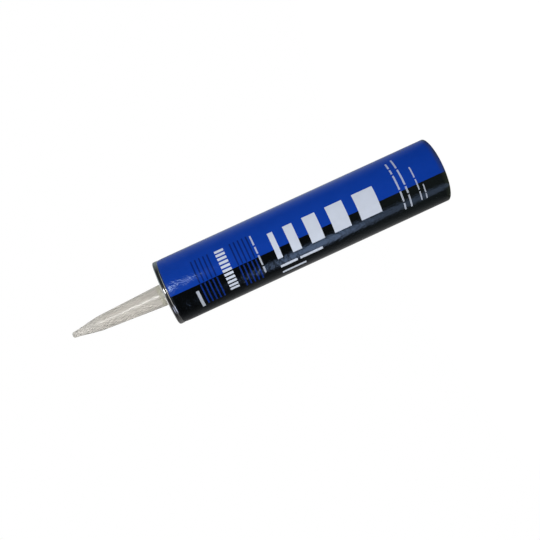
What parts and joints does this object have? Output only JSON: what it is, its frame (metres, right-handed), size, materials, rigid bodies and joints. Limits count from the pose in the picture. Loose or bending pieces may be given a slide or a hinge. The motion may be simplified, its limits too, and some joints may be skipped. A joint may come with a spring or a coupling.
{
  "type": "sealant cartridge",
  "caption": "Board cartridge of sealant with a printed label, a seamed metal end, a long closed plastic nozzle and a plunger that slides in the bore.",
  "frame": {"origin": "centre of the open rear edge, on the surface that the cartridge stands on", "axes": "+Z along the cartridge's axis towards the nozzle's tip, and -Y towards the front of the print"},
  "size_m": [0.049, 0.049, 0.2892],
  "materials": {
    "board": "matt spiral-wound board",
    "printed_paper": "gloss-varnished print",
    "tinplate": "bright tinplate",
    "nozzle_plastic": "natural moulded polyethylene",
    "seal_foil": "foil",
    "sealant": "smooth soft paste",
    "plunger_plastic": "moulded polyethylene"
  },
  "bodies": {
    "cartridge": {"tube": "board", "label": "printed_paper", "front_end": "tinplate", "nozzle": "nozzle_plastic", "inner_seal": "seal_foil", "sealant": "sealant"},
    "piston": {"plunger": "plunger_plastic"}
  },
  "joints": [
    {"name": "plunger_slide", "type": "slide", "parent": "cartridge", "child": "piston", "axis": [0, 0, 1], "range_m": [0, 0.17], "deforming": ["sealant"]}
  ]
}
